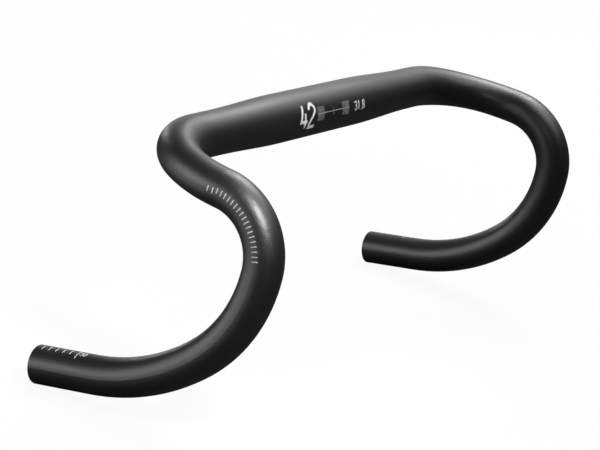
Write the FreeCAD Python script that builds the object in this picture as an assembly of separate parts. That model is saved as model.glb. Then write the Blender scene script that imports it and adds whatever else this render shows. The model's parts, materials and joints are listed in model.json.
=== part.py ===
import FreeCAD, Part
import math
import os

# Drop handlebar for a road bicycle: three moulded tubes bonded end to end, with printed scales.
# Millimetres. X runs along the clamp to the rider's right, Y forward, Z up.
# The origin is the middle of the stem clamp.

Placement = FreeCAD.Placement
Rotation = FreeCAD.Rotation
Vector = FreeCAD.Vector

# Overall shape
bar_width = 420.0  # centre to centre of the two drop ends
clamp_diameter = 31.8
top_diameter = 28.2  # straight tops, outside the clamp swell
grip_diameter = 23.8  # hooks and drops, where levers and tape go
clamp_zone_length = 100.0  # full-size middle that the stem can clamp

# Walls
clamp_wall = 2.3
tube_wall = 1.9

# First bend, from the tops to the hooks
first_bend_radius = 59.0
ramp_angle = 7.5  # how far the hook starts below level
swage_lead = 8.0  # bend length that keeps the size of the tops
swage_length = 60.0  # bend length in which the tube narrows to the grip size
swage_stations = 13

# Hook: three arcs that open out towards the drop
lever_bend_radius = 39.0
lever_bend_turn = 86.0
hook_bend_radius = 84.0
hook_bend_turn = 45.5
drop_bend_radius = 132.0
drop_bend_turn = 33.0
flare_angle = 3.5  # lean of the hook's plane, drops outward
end_edge_round = 0.5

# Bonded joints inside the tops
sleeve_length = 34.0
sleeve_wall = 1.6
bond_gap = 0.15  # thickness of the adhesive all round the sleeve
sleeve_clearance = 1.0  # from the sleeve to the start of the first bend
bore_taper_margin = 2.0  # from the end of the bore's taper to the sleeve

same_place = 0.001  # two points nearer than this are one

# Ink
ink_thickness = 0.06

# Lever scale, printed along the outboard side of each hook
lever_tick_count = 20
lever_tick_pitch = 2.8
lever_tick_length = 3.6
lever_tick_width = 0.6
lever_scale_lead = 3.3  # first tick, before the hook starts
lever_scale_offset = 0.6  # towards the outside of the hook

# Clamp marks, printed on the front of the middle
clamp_mark_angle = 12.5  # above straight forward
centre_line_length = 42.0
centre_line_width = 0.45
centre_tick_length = 4.4
centre_tick_width = 0.3
grid_width = 9.0
grid_spacing = 33.0  # between the middles of the two grids
grid_height = 3.9  # of each net; one lies above the centre line and one below
grid_gap = 0.9  # between the two nets, where the centre line runs
grid_columns = 5
grid_rows = 5
grid_line_width = 0.3

# Plain numbers: the bar's width in centimetres and the clamp's diameter
width_mark_height = 14.5
width_mark_place = 33.5
size_mark_height = 5.6
size_mark_place = -35.5
stroke_share = 0.14  # stroke width of a number, as a share of its height

# Trim marks near each drop end: how much may be cut off, in millimetres
trim_length = 30.0
trim_tick_pitch = 5.0
trim_tick_length = 4.5
trim_tick_width = 0.5
trim_line_length = 9.5
trim_mark_angle = 76.0  # round the tube, from outboard towards the inside of the hook
trim_number_height = 3.4
trim_number_gap = 1.4
trim_margin = 10.0  # straight tube beyond the trim line, for its number

# Derived sizes
clamp_radius = clamp_diameter / 2
top_radius = top_diameter / 2
grip_radius = grip_diameter / 2
clamp_bore = clamp_radius - clamp_wall
top_bore = top_radius - tube_wall
clamp_half = clamp_zone_length / 2
sleeve_radius = top_bore - bond_gap
drop_straight = trim_length + trim_margin
hook_arcs = [
    (lever_bend_radius, lever_bend_turn),
    (hook_bend_radius, hook_bend_turn),
    (drop_bend_radius, drop_bend_turn),
]


def hook_depth():
    """How far the drop end lies below the hook's start, square to the ramp."""
    heading = 0.0
    depth = 0.0
    for radius, turn in hook_arcs:
        leaving = heading + math.radians(turn)
        depth += radius * (math.cos(heading) - math.cos(leaving))
        heading = leaving
    return depth + drop_straight * math.sin(heading)


flare_shift = hook_depth() * math.sin(math.radians(flare_angle))
bend_start = bar_width / 2 - first_bend_radius - flare_shift
joint_place = bend_start - sleeve_clearance - sleeve_length / 2
bore_taper_end = joint_place - sleeve_length / 2 - bore_taper_margin


class Run:
    """A straight or circular stretch of the tube's centre line.

    The frame stands at its start: Z looks along the tube, X outboard at the hook, and Y
    towards the inside of the hook.
    """

    def __init__(self, frame, length, bend_radius=0.0, axis=None):
        self.frame = frame
        self.length = length
        self.bend_radius = bend_radius
        self.axis = axis

    def heading(self):
        return self.frame.Rotation.multVec(Vector(0, 0, 1))

    def bend_centre(self):
        return self.frame.Base + self.axis.cross(self.heading()) * self.bend_radius

    def frame_at(self, distance):
        if not self.bend_radius:
            return Placement(self.frame.Base + self.heading() * distance, self.frame.Rotation)
        turn = Rotation(self.axis, math.degrees(distance / self.bend_radius))
        arm = turn.multVec(self.frame.Base - self.bend_centre())
        return Placement(self.bend_centre() + arm, turn.multiply(self.frame.Rotation))

    def end(self):
        return self.frame_at(self.length)

    def carry(self, face, distance):
        """Sweep a face that stands on the line, along the line."""
        if not self.bend_radius:
            return face.extrude(self.heading() * distance)
        angle = math.degrees(distance / self.bend_radius)
        return face.revolve(self.bend_centre(), self.axis, angle)


def circle_at(frame, radius):
    circle = Part.Wire(Part.makeCircle(radius))
    circle.Placement = frame
    return circle


def ring_at(frame, outer, inner):
    disc = Part.Face(circle_at(frame, outer))
    return disc.cut(Part.Face(circle_at(frame, inner))).Faces[0]


def tube_along(run, outer, inner, start=0.0, length=None):
    """A tube of one size along all or part of a run."""
    reach = run.length - start if length is None else length
    return run.carry(ring_at(run.frame_at(start), outer, inner), reach)


def first_bend_run():
    """The quarter turn from the tops, level and square, to the hook's start."""
    ramp = math.radians(ramp_angle)
    forward = Vector(0, math.cos(ramp), -math.sin(ramp))
    axis = Vector(1, 0, 0).cross(forward)
    facing = Rotation(forward * -1, axis * -1, Vector(1, 0, 0), "ZXY")
    return Run(Placement(Vector(bend_start, 0, 0), facing), first_bend_radius * math.pi / 2,
               first_bend_radius, axis)


def hook_runs(start):
    """The hook's arcs and the straight drop end, in the plane leaned by the flare."""
    frame = start.multiply(Placement(Vector(), Rotation(Vector(0, 0, 1), -flare_angle)))
    axis = frame.Rotation.multVec(Vector(-1, 0, 0))
    runs = []
    for radius, turn in hook_arcs:
        runs.append(Run(frame, radius * math.radians(turn), radius, axis))
        frame = runs[-1].end()
    runs.append(Run(frame, drop_straight))
    return runs


def s_curve(x_from, radius_from, x_to, radius_to):
    """Edge of a tube's taper: level at both ends."""
    third = (x_to - x_from) / 3
    curve = Part.BezierCurve()
    curve.setPoles([
        Vector(x_from, 0, radius_from),
        Vector(x_from + third, 0, radius_from),
        Vector(x_to - third, 0, radius_to),
        Vector(x_to, 0, radius_to),
    ])
    return curve.toShape()


def turned_half(taper_end, middle_radius, end_radius, x_end):
    """Solid turned about X: the middle's cylinder, its taper, and a cylinder out to x_end."""
    points = [
        Vector(taper_end, 0, end_radius),
        Vector(x_end, 0, end_radius),
        Vector(x_end, 0, 0),
        Vector(0, 0, 0),
        Vector(0, 0, middle_radius),
        Vector(clamp_half, 0, middle_radius),
    ]
    edges = [s_curve(clamp_half, middle_radius, taper_end, end_radius)]
    for a, b in zip(points, points[1:]):
        if a.distanceToPoint(b) > 1e-6:
            edges.append(Part.makeLine(a, b))
    face = Part.Face(Part.Wire(Part.__sortEdges__(edges)))
    return face.revolve(Vector(), Vector(1, 0, 0), 360)


def mirrored(shape):
    return shape.mirror(Vector(), Vector(1, 0, 0))


def centre_section():
    """Straight middle: swollen at the clamp, tapered to the tops, thicker where it is clamped."""
    outside = turned_half(joint_place, clamp_radius, top_radius, joint_place)
    bore = turned_half(bore_taper_end, clamp_bore, top_bore, joint_place)
    half = outside.cut(bore)
    return half.fuse(mirrored(half)).removeSplitter().Solids[0]


def swage(run):
    """Part of the first bend in which the tube narrows, lofted through round sections."""
    solids = []
    for inset in (0.0, tube_wall):
        sections = []
        for i in range(swage_stations):
            t = i / (swage_stations - 1)
            ease = t * t * (3 - 2 * t)
            radius = top_radius + (grip_radius - top_radius) * ease - inset
            sections.append(circle_at(run.frame_at(swage_lead + swage_length * t), radius))
        solids.append(Part.makeLoft(sections, True))
    return solids[0].cut(solids[1])


def right_drop():
    """Hollow tube from the joint in the tops, round both bends, to the open drop end."""
    bend = first_bend_run()
    joint_face = Placement(Vector(joint_place, 0, 0), bend.frame.Rotation)
    swage_end = swage_lead + swage_length
    grip_bore = grip_radius - tube_wall
    pieces = [
        tube_along(Run(joint_face, bend_start - joint_place), top_radius, top_bore),
        tube_along(bend, top_radius, top_bore, 0.0, swage_lead),
        swage(bend),
        tube_along(bend, grip_radius, grip_bore, swage_end),
    ]
    runs = hook_runs(bend.end())
    for run in runs:
        pieces.append(tube_along(run, grip_radius, grip_bore))
    tube = pieces[0].multiFuse(pieces[1:]).removeSplitter().Solids[0]
    return round_end(tube, runs[-1].end())


def round_end(tube, mouth):
    """Take the sharp edge off the cut end, outside and in."""
    rims = []
    for edge in tube.Edges:
        round_edge = isinstance(edge.Curve, Part.Circle) and edge.isClosed()
        if round_edge and edge.Curve.Center.distanceToPoint(mouth.Base) < same_place:
            rims.append(edge)
    return tube.makeFillet(end_edge_round, rims)


def joint_sleeve():
    """Plug-in sleeve that carries the load across the joint."""
    start = Placement(Vector(joint_place - sleeve_length / 2, 0, 0), along_x())
    return tube_along(Run(start, sleeve_length), sleeve_radius, sleeve_radius - sleeve_wall)


def joint_adhesive():
    """Adhesive that fills the gap between the sleeve and both tubes."""
    start = Placement(Vector(joint_place - sleeve_length / 2, 0, 0), along_x())
    return tube_along(Run(start, sleeve_length), top_bore, sleeve_radius)


def along_x():
    return Rotation(Vector(0, 0, 1), Vector(1, 0, 0))


def ring_sector(inner, outer, middle_angle, half_angle):
    """Thin curved strip across the tube, flat in XY, about the tube's centre."""
    arcs = []
    for radius in (inner, outer):
        arcs.append(Part.makeCircle(radius, Vector(), Vector(0, 0, 1), middle_angle - half_angle,
                                    middle_angle + half_angle))
    ends = []
    for index in (0, -1):
        ends.append(Part.makeLine(arcs[0].Vertexes[index].Point, arcs[1].Vertexes[index].Point))
    return Part.Face(Part.Wire(Part.__sortEdges__(arcs + ends)))


def run_at(runs, distance):
    """The run that holds a distance along several runs, and the distance along that run."""
    for run in runs[:-1]:
        if distance < run.length:
            return run, distance
        distance -= run.length
    return runs[-1], distance


def lever_scale():
    """Ticks along the outboard side of the right hook, for setting both levers alike."""
    bend = first_bend_run()
    runs = [bend] + hook_runs(bend.end())
    half_angle = math.degrees(lever_tick_length / 2 / grip_radius)
    middle_angle = -math.degrees(lever_scale_offset / grip_radius)
    strip = ring_sector(grip_radius, grip_radius + ink_thickness, middle_angle, half_angle)
    ticks = []
    for i in range(lever_tick_count):
        place = bend.length - lever_scale_lead + i * lever_tick_pitch
        run, distance = run_at(runs, place - lever_tick_width / 2)
        tick = strip.copy()
        tick.Placement = run.frame_at(distance)
        ticks.append(run.carry(tick, lever_tick_width))
    return Part.makeCompound(ticks)


def rectangle(width, height, x=0.0, y=0.0):
    """Flat face about its middle."""
    return Part.makePlane(width, height, Vector(x - width / 2, y - height / 2, 0))


def printed(outline, place, radius):
    """Lay a flat outline round a straight tube as a thin coat of ink.

    The outline is in XY, with X along the tube; place puts the origin on the tube's axis, with
    Z looking out through the mark.
    """
    size = outline.BoundBox
    overrun = 1.0
    foot = Vector(size.XMin - overrun, 0, 0)
    reach = size.XLength + 2 * overrun
    core = Part.makeCylinder(radius, reach, foot, Vector(1, 0, 0))
    skin = Part.makeCylinder(radius + ink_thickness, reach, foot, Vector(1, 0, 0)).cut(core)
    mark = outline.extrude(Vector(0, 0, radius + 2 * ink_thickness)).common(skin)
    mark.Placement = place.multiply(mark.Placement)
    return mark


def stroke(points, width):
    """Flat stroke of one width along a line of points, mitred at its corners."""
    line = [Vector(x, y, 0) for x, y in points]
    headings = [(b - a).normalize() for a, b in zip(line, line[1:])]
    left = []
    right = []
    for point, into, out in zip(line, headings[:1] + headings, headings + headings[-1:]):
        normal = Vector(0, 0, 1).cross(into + out)
        offset = normal * (width / (normal * normal))
        left.append(point + offset)
        right.insert(0, point - offset)
    outline = left + right
    return Part.Face(Part.makePolygon(outline + outline[:1]))


# Block numerals on a grid 3 wide and 6 high, as the middle lines of their strokes. A stroke that
# would come back to its own start is drawn in two parts.
numerals = {
    "0": [[(0, 3), (0, 5), (1, 6), (2, 6), (3, 5), (3, 3)],
          [(3, 3), (3, 1), (2, 0), (1, 0), (0, 1), (0, 3)]],
    "1": [[(0.6, 4.9), (1.7, 6), (1.7, 0)]],
    "2": [[(0, 4.6), (0, 5), (1, 6), (2, 6), (3, 5), (3, 4), (0, 1), (0, 0), (3, 0)]],
    "3": [[(0, 5), (1, 6), (2, 6), (3, 5), (3, 4), (2.1, 3.1), (1, 3.1)],
          [(2.1, 3.1), (3, 2.2), (3, 1), (2, 0), (1, 0), (0, 1)]],
    "4": [[(1.4, 6), (0, 1.7), (3.3, 1.7)],
          [(2.3, 3.9), (2.3, 0)]],
    "5": [[(2.8, 6), (0.2, 6), (0.2, 3.5), (2, 3.5), (3, 2.5), (3, 1), (2, 0), (1, 0), (0, 1)]],
    "6": [[(3, 5), (2, 6), (1, 6), (0, 5), (0, 1), (1, 0), (1.5, 0)],
          [(1.5, 0), (2, 0), (3, 1), (3, 2.4), (2, 3.4), (0, 3.4)]],
    "7": [[(0, 6), (3, 6), (1, 0)]],
    "8": [[(1.5, 3.1), (2, 3.1), (2.8, 3.9), (2.8, 5.2), (2, 6), (1.5, 6)],
          [(1.5, 6), (1, 6), (0.2, 5.2), (0.2, 3.9), (1, 3.1), (1.5, 3.1)],
          [(1.5, 3.1), (2, 3.1), (3, 2.1), (3, 1), (2, 0), (1.5, 0)],
          [(1.5, 0), (1, 0), (0, 1), (0, 2.1), (1, 3.1), (1.5, 3.1)]],
    "9": [[(0, 1), (1, 0), (2, 0), (3, 1), (3, 5), (2, 6), (1.5, 6)],
          [(1.5, 6), (1, 6), (0, 5), (0, 3.6), (1, 2.6), (3, 2.6)]],
    ".": [[(0.7, -0.42), (0.7, 0.42)]],
}
numeral_grid_height = 6
numeral_advance = 4.4
point_advance = 2.4


def number(text, height, reading=1):
    """Plain number as flat faces about its middle; reading -1 writes it in mirror image."""
    scale = height / numeral_grid_height
    glyphs = []
    cursor = 0.0
    for character in text:
        strokes = []
        for line in numerals[character]:
            points = [(reading * scale * (cursor + x), scale * y) for x, y in line]
            strokes.append(stroke(points, stroke_share * height))
        glyph = strokes[0].multiFuse(strokes[1:]).removeSplitter() if strokes[1:] else strokes[0]
        glyphs.append(glyph)
        cursor += point_advance if character == "." else numeral_advance
    flat = Part.makeCompound(glyphs)
    middle = flat.BoundBox.Center
    flat.translate(Vector(-middle.x, -middle.y, 0))
    return flat


def clamp_print(outline, x):
    """Print on the front of the clamp, read from the front."""
    angle = math.radians(clamp_mark_angle)
    out = Vector(0, math.cos(angle), math.sin(angle))
    up = Vector(0, -math.sin(angle), math.cos(angle))
    facing = Rotation(Vector(-1, 0, 0), up, out, "ZXY")
    return printed(outline, Placement(Vector(x, 0, 0), facing), clamp_radius)


def centre_mark():
    """Line along the middle with a tick at dead centre."""
    line = rectangle(centre_line_length, centre_line_width)
    tick = rectangle(centre_tick_width, centre_tick_length)
    return clamp_print(line.fuse(tick).removeSplitter(), 0.0)


def width_mark():
    """The bar's width in whole centimetres."""
    flat = number("%.0f" % (bar_width / 10), width_mark_height)
    return clamp_print(flat, width_mark_place)


def clamp_size_mark():
    """The clamp's diameter in millimetres."""
    flat = number("%.1f" % clamp_diameter, size_mark_height)
    return clamp_print(flat, size_mark_place)


def clamp_grid():
    """Nets of fine lines above and below the centre line, on the right of the middle."""
    column_pitch = (grid_width - grid_line_width) / grid_columns
    row_pitch = (grid_height - grid_line_width) / grid_rows
    nets = []
    for side in (1, -1):
        middle = side * (grid_gap + grid_height) / 2
        windows = []
        for column in range(grid_columns):
            x = (column - (grid_columns - 1) / 2) * column_pitch
            for row in range(grid_rows):
                y = middle + (row - (grid_rows - 1) / 2) * row_pitch
                windows.append(rectangle(column_pitch - grid_line_width,
                                         row_pitch - grid_line_width, x, y))
        nets.append(rectangle(grid_width, grid_height, 0, middle).cut(windows))
    return clamp_print(Part.makeCompound(nets), grid_spacing / 2)


def drop_end_print(outline, distance):
    """Print near the right drop end, at a distance from its mouth, read towards the hook."""
    mouth = hook_runs(first_bend_run().end())[-1].end()
    turn = Rotation(Vector(0, 0, 1), trim_mark_angle)
    facing = Rotation(Vector(0, 0, -1), Vector(0, 1, 0), Vector(1, 0, 0), "ZXY")
    local = Placement(Vector(0, 0, -distance), turn.multiply(facing))
    return printed(outline, mouth.multiply(local), grip_radius)


def trim_line():
    return drop_end_print(rectangle(trim_tick_width, trim_line_length), trim_length)


def trim_scale():
    ticks = []
    for i in range(1, math.ceil(trim_length / trim_tick_pitch)):
        tick = rectangle(trim_tick_width, trim_tick_length)
        ticks.append(drop_end_print(tick, i * trim_tick_pitch))
    return Part.makeCompound(ticks)


def trim_number(reading):
    flat = number("%g" % trim_length, trim_number_height, reading)
    distance = trim_length + trim_number_gap + flat.BoundBox.XLength / 2
    return drop_end_print(flat, distance)


def main():
    pieces = {
        "centre_section": centre_section(),
        "centre_mark": centre_mark(),
        "width_mark": width_mark(),
        "clamp_size_mark": clamp_size_mark(),
        "right_trim_number": trim_number(1),
        "left_trim_number": mirrored(trim_number(-1)),
    }
    sided = {
        "drop": right_drop(),
        "joint_sleeve": joint_sleeve(),
        "joint_adhesive": joint_adhesive(),
        "clamp_grid": clamp_grid(),
        "lever_scale": lever_scale(),
        "trim_scale": trim_scale(),
        "trim_line": trim_line(),
    }
    for name, shape in sided.items():
        pieces["right_" + name] = shape
        pieces["left_" + name] = mirrored(shape)
    os.makedirs("parts", exist_ok=True)
    for name, shape in pieces.items():
        shape.exportStep("parts/" + name + ".step")


main()
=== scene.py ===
import json
import math

import bpy
from mathutils import Matrix, Vector


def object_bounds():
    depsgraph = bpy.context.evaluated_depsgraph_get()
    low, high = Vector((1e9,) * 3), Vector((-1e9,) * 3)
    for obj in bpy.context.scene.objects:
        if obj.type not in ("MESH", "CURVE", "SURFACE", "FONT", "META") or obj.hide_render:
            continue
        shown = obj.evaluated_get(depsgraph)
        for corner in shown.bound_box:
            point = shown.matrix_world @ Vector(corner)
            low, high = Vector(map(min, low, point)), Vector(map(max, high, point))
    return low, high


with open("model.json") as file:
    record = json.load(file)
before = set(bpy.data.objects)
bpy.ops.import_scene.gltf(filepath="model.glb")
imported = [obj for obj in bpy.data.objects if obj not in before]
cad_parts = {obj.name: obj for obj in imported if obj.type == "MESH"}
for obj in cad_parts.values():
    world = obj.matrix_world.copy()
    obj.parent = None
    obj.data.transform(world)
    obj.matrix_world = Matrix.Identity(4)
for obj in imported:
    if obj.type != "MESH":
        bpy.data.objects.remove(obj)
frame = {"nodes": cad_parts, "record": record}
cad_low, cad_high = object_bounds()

# ---- Painted tubes -------------------------------------------------------------------------
# The centre section and the two drops are moulded hollow tubes, bonded end to end, filled over
# the joints and painted as one. The paint is a matt black with a fine grain that sparkles under a
# hard lamp. The drop ends are sawn after painting, so the cut ring and the bore are bare.

PAINTED_TUBES = ["centre_section", "right_drop", "left_drop"]
PAINT_BLACK = (0.0045, 0.0045, 0.0047, 1)
PAINT_BLACK_WORN = (0.008, 0.008, 0.0083, 1)
PAINT_GRAIN = 0.0008  # metres from one grain to the next
PAINT_RELIEF = 0.00013
PAINT_CLOUD = 0.045  # metres across a patch of slightly paler paint
PAINT_ROUGHNESS = 0.37
CLOUD_ROUGHNESS = 0.06  # added where a patch is palest
PAINT_SPECULAR = 1.0
BARE_RESIN = (0.040, 0.040, 0.042, 1)
BARE_FIBRE = (0.120, 0.120, 0.125, 1)
BARE_STRAND = 0.0012
BARE_ROUGHNESS = 0.55
PAINT_EDGE = 0.0005  # paint left round the outside of the cut
PAINT_EDGE_FADE = 0.0003
BORE_FADE = 0.005  # metres at the deep end of the bore where the bare tone sets in


class Wire:
    """An output in a material's node tree. Arithmetic on it adds Math nodes."""

    def __init__(self, tree, socket=None):
        self.tree = tree
        self.socket = socket

    def node(self, kind, settings=None, inputs=None, output=0):
        made = self.tree.nodes.new("ShaderNode" + kind)
        for name, value in (settings or {}).items():
            setattr(made, name, value)
        for name, value in (inputs or {}).items():
            if isinstance(value, Wire):
                self.tree.links.new(value.socket, made.inputs[name])
            else:
                made.inputs[name].default_value = value
        return Wire(self.tree, made.outputs[output] if made.outputs else None)

    def math(self, operation, *values):
        return self.node("Math", {"operation": operation}, dict(enumerate(values)))

    def __add__(self, other):
        return self.math("ADD", self, other)

    __radd__ = __add__

    def __mul__(self, other):
        return self.math("MULTIPLY", self, other)

    __rmul__ = __mul__

    def __sub__(self, other):
        return self.math("SUBTRACT", self, other)

    def __rsub__(self, other):
        return self.math("SUBTRACT", other, self)

    def vector(self, operation, *values):
        output = "Value" if operation in ("DOT_PRODUCT", "LENGTH") else "Vector"
        return self.node("VectorMath", {"operation": operation}, dict(enumerate(values)), output)

    def noise(self, place, grain, detail=2.0):
        """Noise from 0 to 1 whose features are about a grain across."""
        return self.node("TexNoise", {}, {"Vector": place, "Scale": 1 / grain, "Detail": detail})

    def mix(self, share, first, second):
        """A colour between two colours."""
        return self.node("Mix", {"data_type": "RGBA"}, {0: share, 6: first, 7: second}, output=2)

    def step(self, value, start, end):
        """0 below start and 1 above end, with a smooth climb between."""
        settings = {"interpolation_type": "SMOOTHSTEP"}
        return self.node("MapRange", settings, {"Value": value, "From Min": start, "From Max": end})

    def bump(self, strength, depth, height):
        """A normal that rises and falls with a height from 0 to 1."""
        return self.node("Bump", {}, {"Strength": strength, "Distance": depth, "Height": height})


def material(name):
    """A new material with an empty tree; gives the material, a Wire to build with and a place."""
    made = bpy.data.materials.new(name)
    made.use_nodes = True
    made.node_tree.nodes.clear()
    wire = Wire(made.node_tree)
    place = wire.node("TexCoord", output="Object")
    return made, wire, place


def surface(wire, inputs):
    """Principled shader into the material's output."""
    shader = wire.node("BsdfPrincipled", {}, inputs)
    wire.node("OutputMaterial", {}, {"Surface": shader})


def give(nodes, finish):
    """Puts a finish on nodes, as their only material."""
    for name in nodes:
        slots = frame["nodes"][name].data.materials
        slots.clear()
        slots.append(finish)


def cut_end(wire, place, bore, grip):
    """1 on the sawn ring and in the bore behind it, 0 on the paint outside."""
    deep_end = -bore["dims"]["length_mm"] / 2000
    rim = grip["dims"]["r_mm"] / 1000 - PAINT_EDGE
    axis = Vector(bore["axis"])
    arm = wire.vector("SUBTRACT", place, Vector(bore["pos_m"]))
    along = wire.vector("DOT_PRODUCT", arm, axis)
    from_axis = wire.vector("LENGTH", wire.vector("CROSS_PRODUCT", arm, axis))
    outside = wire.step(from_axis, rim, rim + PAINT_EDGE_FADE)
    return (1 - outside) * wire.step(along, deep_end, deep_end + BORE_FADE)


def painted_finish():
    made, wire, place = material("painted_tube")
    mounts = {mount["name"]: mount for mount in frame["record"]["mounts"]}
    right_cut = cut_end(wire, place, mounts["right_drop_bore"], mounts["right_drop_grip"])
    left_cut = cut_end(wire, place, mounts["left_drop_bore"], mounts["left_drop_grip"])
    cut = right_cut + left_cut
    grain = wire.noise(place, PAINT_GRAIN, detail=1.0)
    cloud = wire.noise(place, PAINT_CLOUD)
    strand = wire.noise(place, BARE_STRAND, detail=3.0)
    paint = wire.mix(cloud, PAINT_BLACK, PAINT_BLACK_WORN)
    bare = wire.mix(strand, BARE_RESIN, BARE_FIBRE)
    paint_roughness = PAINT_ROUGHNESS + CLOUD_ROUGHNESS * cloud
    inputs = {
        "Base Color": wire.mix(cut, paint, bare),
        "Roughness": paint_roughness + cut * (BARE_ROUGHNESS - paint_roughness),
        "Normal": wire.bump(1.0, PAINT_RELIEF, grain),
        "Specular IOR Level": PAINT_SPECULAR,
    }
    surface(wire, inputs)
    return made


give(PAINTED_TUBES, painted_finish())

# ---- Joint sleeves -------------------------------------------------------------------------
# A plug-in sleeve of wound fibre and resin sits inside each bonded joint, half in the centre
# section and half in the drop. It is turned to size and left bare.

SLEEVES = ["right_joint_sleeve", "left_joint_sleeve"]
SLEEVE_RESIN = (0.020, 0.020, 0.022, 1)
SLEEVE_FIBRE = (0.060, 0.060, 0.062, 1)
SLEEVE_BAND = 0.0025  # metres from one turn of the winding to the next
SLEEVE_STRAND = 0.0008
SLEEVE_RELIEF = 0.0001
SLEEVE_ROUGHNESS = 0.5
FIBRE_SHEEN = 0.15  # taken off the roughness where a strand lies bare


def sleeve_finish():
    made, wire, place = material("wound_sleeve")
    parts = wire.node("SeparateXYZ", {}, {"Vector": place})
    winding = wire.math("SINE", parts * (2 * math.pi / SLEEVE_BAND)) * 0.5 + 0.5
    strand = winding * wire.noise(place, SLEEVE_STRAND)
    inputs = {
        "Base Color": wire.mix(strand, SLEEVE_RESIN, SLEEVE_FIBRE),
        "Roughness": SLEEVE_ROUGHNESS - FIBRE_SHEEN * strand,
        "Normal": wire.bump(0.4, SLEEVE_RELIEF, strand),
    }
    surface(wire, inputs)
    return made


give(SLEEVES, sleeve_finish())

# ---- Joint adhesive ------------------------------------------------------------------------
# Two-part adhesive fills the gap round each sleeve. It cures to a dull grey-amber film with
# small pores, and lies hidden inside the joint. The pores are coloured darker: painted shade in the pits.

ADHESIVE_RINGS = ["right_joint_adhesive", "left_joint_adhesive"]
ADHESIVE_PALE = (0.42, 0.36, 0.24, 1)
# painted shade: the colour inside the pores
PORE_SHADE = (0.26, 0.21, 0.13, 1)
ADHESIVE_ROUGHNESS = 0.35
PORE = 0.0009  # metres from one pore to the next
PORE_MIDDLE = 0.1  # in shares of that distance
PORE_RIM = 0.4
PORE_DEPTH = 0.0001
PORE_ROUGHNESS = 0.2  # added inside a pore


def adhesive_finish():
    made, wire, place = material("cured_adhesive")
    from_pore = wire.node("TexVoronoi", {}, {"Vector": place, "Scale": 1 / PORE})
    open_pore = 1 - wire.step(from_pore, PORE_MIDDLE, PORE_RIM)
    inputs = {
        # painted shade darkens the open pores
        "Base Color": wire.mix(open_pore, ADHESIVE_PALE, PORE_SHADE),
        "Roughness": ADHESIVE_ROUGHNESS + PORE_ROUGHNESS * open_pore,
        "Normal": wire.bump(0.5, PORE_DEPTH, from_pore),
    }
    surface(wire, inputs)
    return made


give(ADHESIVE_RINGS, adhesive_finish())

# ---- Printed marks -------------------------------------------------------------------------
# The lines and numbers are pad-printed in white ink, and the centring marks of the clamp in two
# greys. The lever scales are in the same white made darker, as painted shade that tones down
# the bright light on the ticks. The ink lies in a film on the paint, thin in places where the
# paint's grain shows.

WHITE_MARKS = [
    "width_mark", "clamp_size_mark", "right_trim_line", "left_trim_line",
    "right_trim_scale", "left_trim_scale", "right_trim_number", "left_trim_number",
]
LEVER_SCALES = ["right_lever_scale", "left_lever_scale"]
PALE_GREY_MARKS = ["centre_mark"]
GREY_MARKS = ["right_clamp_grid", "left_clamp_grid"]
WHITE_INK = (0.92, 0.92, 0.91, 1)
WHITE_INK_THIN = (0.80, 0.80, 0.80, 1)
# painted shade: the white ink darkened for the lever scales
SHADED_TICK_INK = (0.62, 0.62, 0.62, 1)
SHADED_TICK_INK_THIN = (0.50, 0.50, 0.50, 1)
PALE_GREY_INK = (0.52, 0.52, 0.52, 1)
PALE_GREY_INK_THIN = (0.40, 0.40, 0.40, 1)
GREY_INK = (0.31, 0.31, 0.31, 1)
GREY_INK_THIN = (0.20, 0.20, 0.20, 1)
INK_ROUGHNESS = 0.5
INK_SPECK = 0.0007  # metres across a thin place
THIN_BELOW = 0.42  # of the speck's noise
FULL_ABOVE = 0.6
SPECK_DEPTH = 0.0001
SPECK_ROUGHNESS = 0.1


def ink(name, full, thin):
    made, wire, place = material(name)
    speck = wire.noise(place, INK_SPECK, detail=3.0)
    cover = wire.step(speck, THIN_BELOW, FULL_ABOVE)
    inputs = {
        "Base Color": wire.mix(cover, thin, full),
        "Roughness": INK_ROUGHNESS + SPECK_ROUGHNESS * speck,
        "Normal": wire.bump(0.3, SPECK_DEPTH, speck),
    }
    surface(wire, inputs)
    return made


give(WHITE_MARKS, ink("white_ink", WHITE_INK, WHITE_INK_THIN))
# the lever scales get the darkened white, as painted shade
give(LEVER_SCALES, ink("shaded_tick_ink", SHADED_TICK_INK, SHADED_TICK_INK_THIN))
give(PALE_GREY_MARKS, ink("pale_grey_ink", PALE_GREY_INK, PALE_GREY_INK_THIN))
give(GREY_MARKS, ink("grey_ink", GREY_INK, GREY_INK_THIN))

# ---- Table and room ------------------------------------------------------------------------
# The bar stands on the lowest points of its hooks, on a wide pale table. To the eye all round is
# white, and the table keeps the bar's soft shadow. In the paint's gloss the room is dim, as
# between the black cloths of a studio, but for a white roll that hangs behind the bar and a
# white sheet that lies on the table before the flank's soft box.

TABLE_HALF = 6.0
TABLE_WHITE = (0.80, 0.80, 0.80, 1)
TABLE_DIM = (0.06, 0.06, 0.06, 1)
TABLE_GLOW = 0.93  # share of the table's white that no shadow reaches
SHEET_AZIMUTH = 130.0  # degrees from forward, towards the rider's right
SHEET_SPREAD = 45.0  # degrees from its middle to its edge
SHEET_FADE = 18.0
SHEET_START = 0.294  # metres from the clamp
SHEET_WHOLE = 0.546
ROOM_DIM = 0.06
ROLL_AZIMUTH = -127.0
ROLL_ELEVATION = 5.0
ROLL_SPREAD = 17.0
ROLL_FADE = 5.0


def facing(azimuth, elevation):
    """Direction from the clamp; azimuth turns from forward towards the rider's right."""
    turn = math.radians(azimuth)
    rise = math.radians(elevation)
    return Vector((math.sin(turn) * math.cos(rise), math.cos(turn) * math.cos(rise), math.sin(rise)))


def sector(wire, direction, middle, spread, fade):
    """1 near a middle direction, fading to 0 at spread degrees from it."""
    nearness = wire.vector("DOT_PRODUCT", direction, middle)
    return wire.step(nearness, math.cos(math.radians(spread)), math.cos(math.radians(spread - fade)))


def ray(wire, kind):
    return wire.node("LightPath", output="Is %s Ray" % kind)


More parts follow.
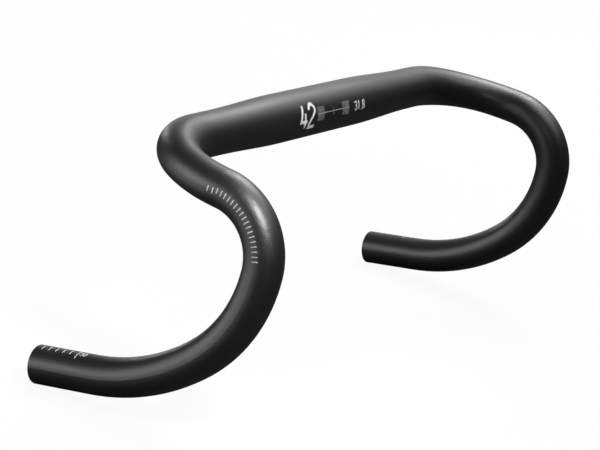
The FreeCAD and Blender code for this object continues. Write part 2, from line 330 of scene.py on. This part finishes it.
table_mesh = bpy.data.meshes.new("table")
corners = [(-1, -1), (1, -1), (1, 1), (-1, 1)]
table_mesh.from_pydata([(x * TABLE_HALF, y * TABLE_HALF, cad_low.z) for x, y in corners], [], [(0, 1, 2, 3)])
table = bpy.data.objects.new("table", table_mesh)
bpy.context.scene.collection.objects.link(table)
table_finish, wire, place = material("table_white")
dim = wire.node("BsdfDiffuse", {}, {"Color": TABLE_DIM})
plain = wire.node("BsdfDiffuse", {}, {"Color": TABLE_WHITE})
glow = wire.node("Emission", {}, {"Color": (1, 1, 1, 1), "Strength": 1.0})
white = wire.node("MixShader", {}, {0: TABLE_GLOW, 1: plain, 2: glow})
from_clamp = wire.vector("NORMALIZE", place)
sheet_sector = sector(wire, from_clamp, facing(SHEET_AZIMUTH, 0), SHEET_SPREAD, SHEET_FADE)
sheet = sheet_sector * wire.step(wire.vector("LENGTH", place), SHEET_START, SHEET_WHOLE)
seen = ray(wire, "Camera") + ray(wire, "Transmission") + ray(wire, "Glossy") * sheet
shown = wire.node("MixShader", {}, {0: seen, 1: dim, 2: white})
wire.node("OutputMaterial", {}, {"Surface": shown})
table_mesh.materials.append(table_finish)

room = bpy.data.worlds.new("room")
bpy.context.scene.world = room
room.use_nodes = True
room.node_tree.nodes.clear()
wire = Wire(room.node_tree)
direction = wire.node("TexCoord", output="Generated")
roll = sector(wire, direction, facing(ROLL_AZIMUTH, ROLL_ELEVATION), ROLL_SPREAD, ROLL_FADE)
seen = ray(wire, "Camera") + (ray(wire, "Glossy") + ray(wire, "Transmission")) * roll
sky = wire.node("Background", {}, {"Color": (1, 1, 1, 1), "Strength": ROOM_DIM + (1 - ROOM_DIM) * seen})
wire.node("OutputWorld", {}, {"Surface": sky})

# ---- Lamps ---------------------------------------------------------------------------------
# Soft boxes behind, above and at the right flank light the tubes in broad bands, and a small
# lamp behind sets a glint on the right bend. A hard lamp near the right hook makes the paint
# sparkle, and a narrow spot in front of the clamp lifts the print.

CLAMP = Vector((0, 0, 0))
LEVER_SEAT = Vector((0.209, 0.087, -0.012))
BOX_DISTANCE = 2.2
HARD_LAMP_DISTANCE = 0.38
SPOT_DISTANCE = 0.6


def lamp(name, place, target, size, radiance, beam=180):
    """A lamp at a place, turned to face a target, with a beam of so many degrees."""
    light = bpy.data.lights.new(name, "AREA")
    light.shape = "RECTANGLE"
    light.size, light.size_y = size
    light.energy = radiance * math.pi * size[0] * size[1]
    light.spread = math.radians(beam)
    stand = bpy.data.objects.new(name, light)
    bpy.context.scene.collection.objects.link(stand)
    stand.location = place
    stand.rotation_mode = "QUATERNION"
    stand.rotation_quaternion = (place - target).to_track_quat("Z", "Y")
    stand.visible_camera = False


lamp("back_soft_box", facing(-100, 54) * BOX_DISTANCE, CLAMP, (0.8, 1.0), 8.7)
lamp("low_back_fill", facing(-95, 29) * BOX_DISTANCE, CLAMP, (1.9, 1.0), 0.75)
lamp("top_soft_box", facing(-50, 66) * BOX_DISTANCE, CLAMP, (2.6, 2.0), 2.0)
lamp("flank_soft_box", facing(132, 6) * BOX_DISTANCE, CLAMP, (2.8, 1.1), 2.3)
lamp("back_glint", facing(-147, 8) * BOX_DISTANCE, CLAMP, (0.22, 0.22), 13.0)
hard_lamp_place = LEVER_SEAT + facing(36, 47) * HARD_LAMP_DISTANCE
lamp("hard_lamp", hard_lamp_place, LEVER_SEAT, (0.05, 0.05), 35.0, beam=72)
lamp("clamp_spot", facing(10, 22) * SPOT_DISTANCE, CLAMP, (0.1, 0.1), 0.4, beam=24)

# ---- Camera --------------------------------------------------------------------------------
# It looks from the rider's right and front, a little above the bar, and is rolled slightly on
# its own axis.

CAMERA_PLACE = Vector((1.2481, 0.6588, 0.3118))
CAMERA_AIM = Vector((0.0529, 0.0323, -0.0611))
CAMERA_ROLL = 0.1611
CAMERA_LENS = 132.9  # millimetres, as the sensor is
CAMERA_SENSOR = 36.0

forward = (CAMERA_AIM - CAMERA_PLACE).normalized()
right = forward.cross(Vector((0, 0, 1))).normalized()
up = right.cross(forward)
across = right * math.cos(CAMERA_ROLL) + up * math.sin(CAMERA_ROLL)
upright = up * math.cos(CAMERA_ROLL) - right * math.sin(CAMERA_ROLL)
camera_data = bpy.data.cameras.new("camera")
camera_data.lens = CAMERA_LENS
camera_data.sensor_width = CAMERA_SENSOR
camera_data.dof.use_dof = False
camera = bpy.data.objects.new("camera", camera_data)
bpy.context.scene.collection.objects.link(camera)
turned = Matrix((across, upright, -forward)).transposed().to_4x4()
camera.matrix_world = Matrix.Translation(CAMERA_PLACE) @ turned
bpy.context.scene.camera = camera
bpy.context.scene.view_settings.view_transform = "Standard"
